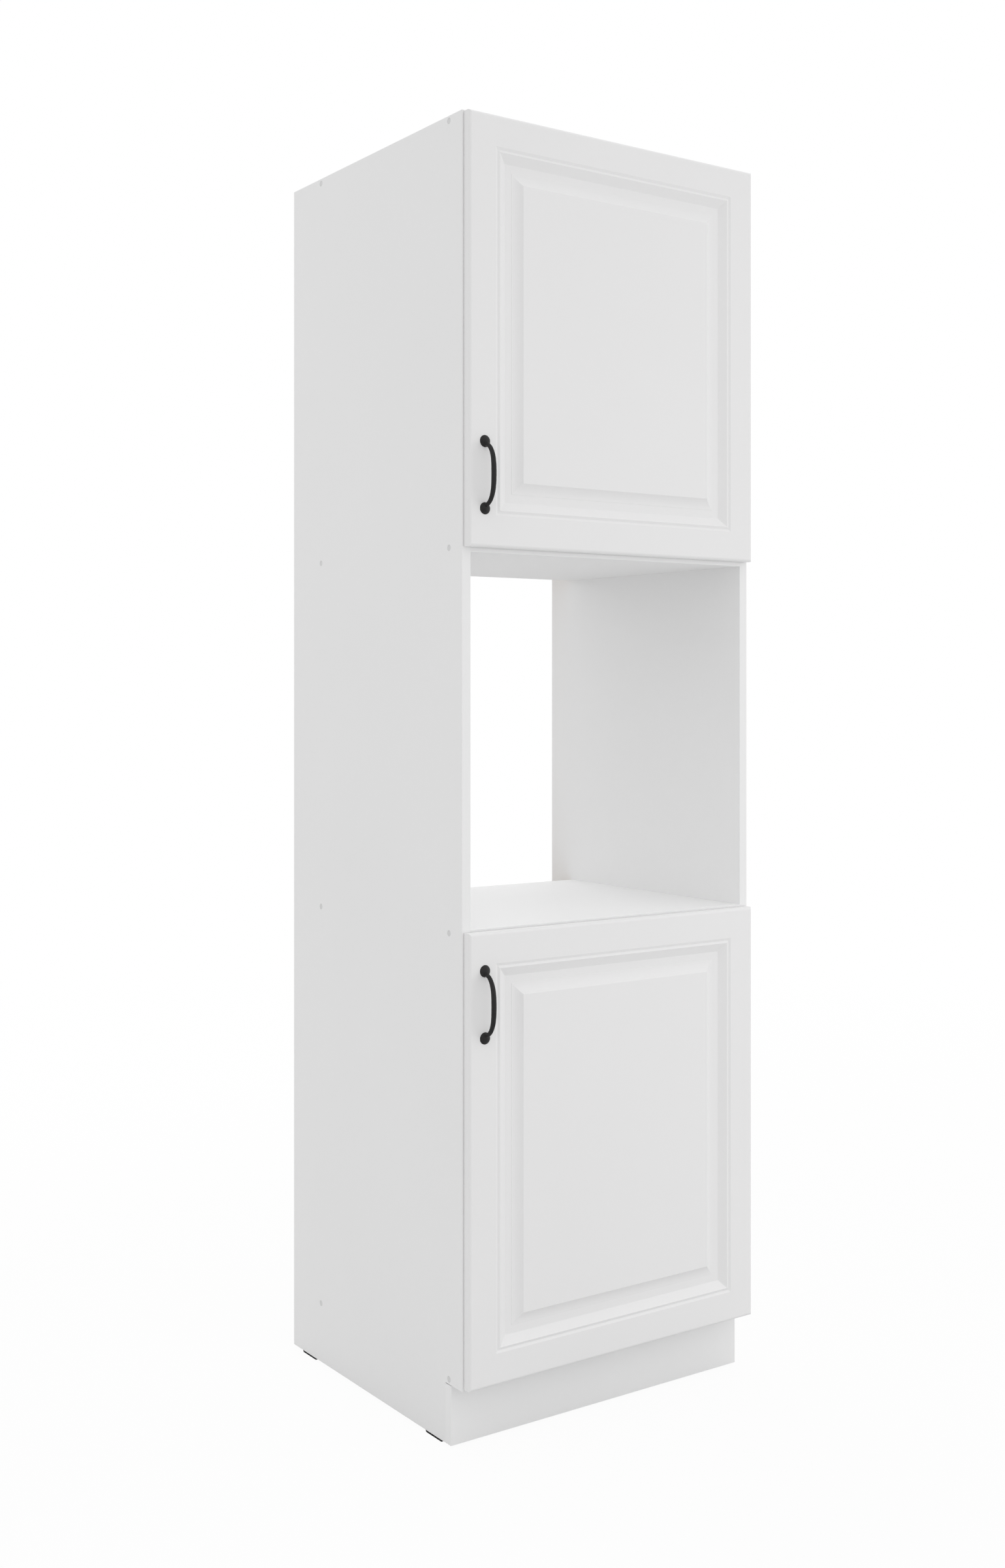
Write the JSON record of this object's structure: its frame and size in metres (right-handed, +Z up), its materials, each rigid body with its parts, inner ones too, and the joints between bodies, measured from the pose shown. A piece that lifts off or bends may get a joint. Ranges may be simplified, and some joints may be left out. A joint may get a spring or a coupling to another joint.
{
  "type": "tall oven housing unit",
  "caption": "Tall white kitchen unit that houses a built-in oven: open niche between two raised-panel doors on concealed hinges, plinth below, black bow handles.",
  "frame": {"origin": "on the floor, under the middle of the unit's width and of its whole depth, handles included", "axes": "+X to the right as seen from the front, +Y from the doors to the wall, +Z up"},
  "size_m": [0.6, 0.599, 2.1],
  "materials": {
    "white_board": "satin white melamine-faced board",
    "white_hardboard": "white-faced hardboard",
    "white_front": "satin white foil-wrapped fibreboard",
    "timber": "bare softwood",
    "black_plastic": "matte",
    "grey_cap": "matte",
    "black_iron": "blackened, lightly pitted",
    "soft_pad": "soft translucent pad",
    "nickel_steel": "nickel-plated"
  },
  "bodies": {
    "carcass": {"side_panel_left": "white_board", "side_panel_right": "white_board", "top_panel": "white_board", "niche_ceiling": "white_board", "niche_floor": "white_board", "bottom_panel": "white_board", "back_board_upper": "white_hardboard", "back_board_lower": "white_hardboard", "plinth_board": "white_front", "plinth_cleat_left": "timber", "plinth_cleat_right": "timber", "plinth_screws": "nickel_steel", "glide_front_left": "black_plastic", "glide_front_right": "black_plastic", "glide_rear_left": "black_plastic", "glide_rear_right": "black_plastic", "board_screws_left": "nickel_steel", "board_screws_right": "nickel_steel", "screw_caps_left": "grey_cap", "screw_caps_right": "grey_cap", "shelf_upper": "white_board", "shelf_lower": "white_board", "shelf_pins_upper": "nickel_steel", "shelf_pins_lower": "nickel_steel", "hinge_plate_1": "nickel_steel", "hinge_plate_2": "nickel_steel", "hinge_plate_3": "nickel_steel", "hinge_plate_4": "nickel_steel", "hinge_arm_1": "nickel_steel", "hinge_arm_2": "nickel_steel", "hinge_arm_3": "nickel_steel", "hinge_arm_4": "nickel_steel", "plate_screws_lower": "nickel_steel", "plate_screws_upper": "nickel_steel", "arm_screws_lower": "nickel_steel", "arm_screws_upper": "nickel_steel"},
    "upper_links": {"hinge_link_3": "nickel_steel", "hinge_link_4": "nickel_steel"},
    "upper_door": {"door_upper": "white_front", "handle_upper": "black_iron", "handle_screws_upper": "nickel_steel", "door_bumpers_upper": "soft_pad", "hinge_cup_3": "nickel_steel", "hinge_cup_4": "nickel_steel", "cup_screws_upper": "nickel_steel"},
    "lower_links": {"hinge_link_1": "nickel_steel", "hinge_link_2": "nickel_steel"},
    "lower_door": {"door_lower": "white_front", "handle_lower": "black_iron", "handle_screws_lower": "nickel_steel", "door_bumpers_lower": "soft_pad", "hinge_cup_1": "nickel_steel", "hinge_cup_2": "nickel_steel", "cup_screws_lower": "nickel_steel"}
  },
  "joints": [
    {"name": "upper_link_swing", "type": "hinge", "parent": "carcass", "child": "upper_links", "pos_m": [0.273, -0.2475, 1.758], "axis": [0, 0, 1], "range_deg": [-47.5, 0]},
    {"name": "upper_door_swing", "type": "hinge", "parent": "upper_links", "child": "upper_door", "pos_m": [0.2875, -0.2565, 1.758], "axis": [0, 0, 1], "range_deg": [0, 142.5]},
    {"name": "lower_link_swing", "type": "hinge", "parent": "carcass", "child": "lower_links", "pos_m": [0.273, -0.2475, 0.459], "axis": [0, 0, 1], "range_deg": [-47.5, 0]},
    {"name": "lower_door_swing", "type": "hinge", "parent": "lower_links", "child": "lower_door", "pos_m": [0.2875, -0.2565, 0.459], "axis": [0, 0, 1], "range_deg": [0, 142.5]}
  ],
  "couplings": [
    {"joint": "upper_link_swing", "follows": "upper_door_swing", "ratio": -0.33333},
    {"joint": "lower_link_swing", "follows": "lower_door_swing", "ratio": -0.33333}
  ]
}
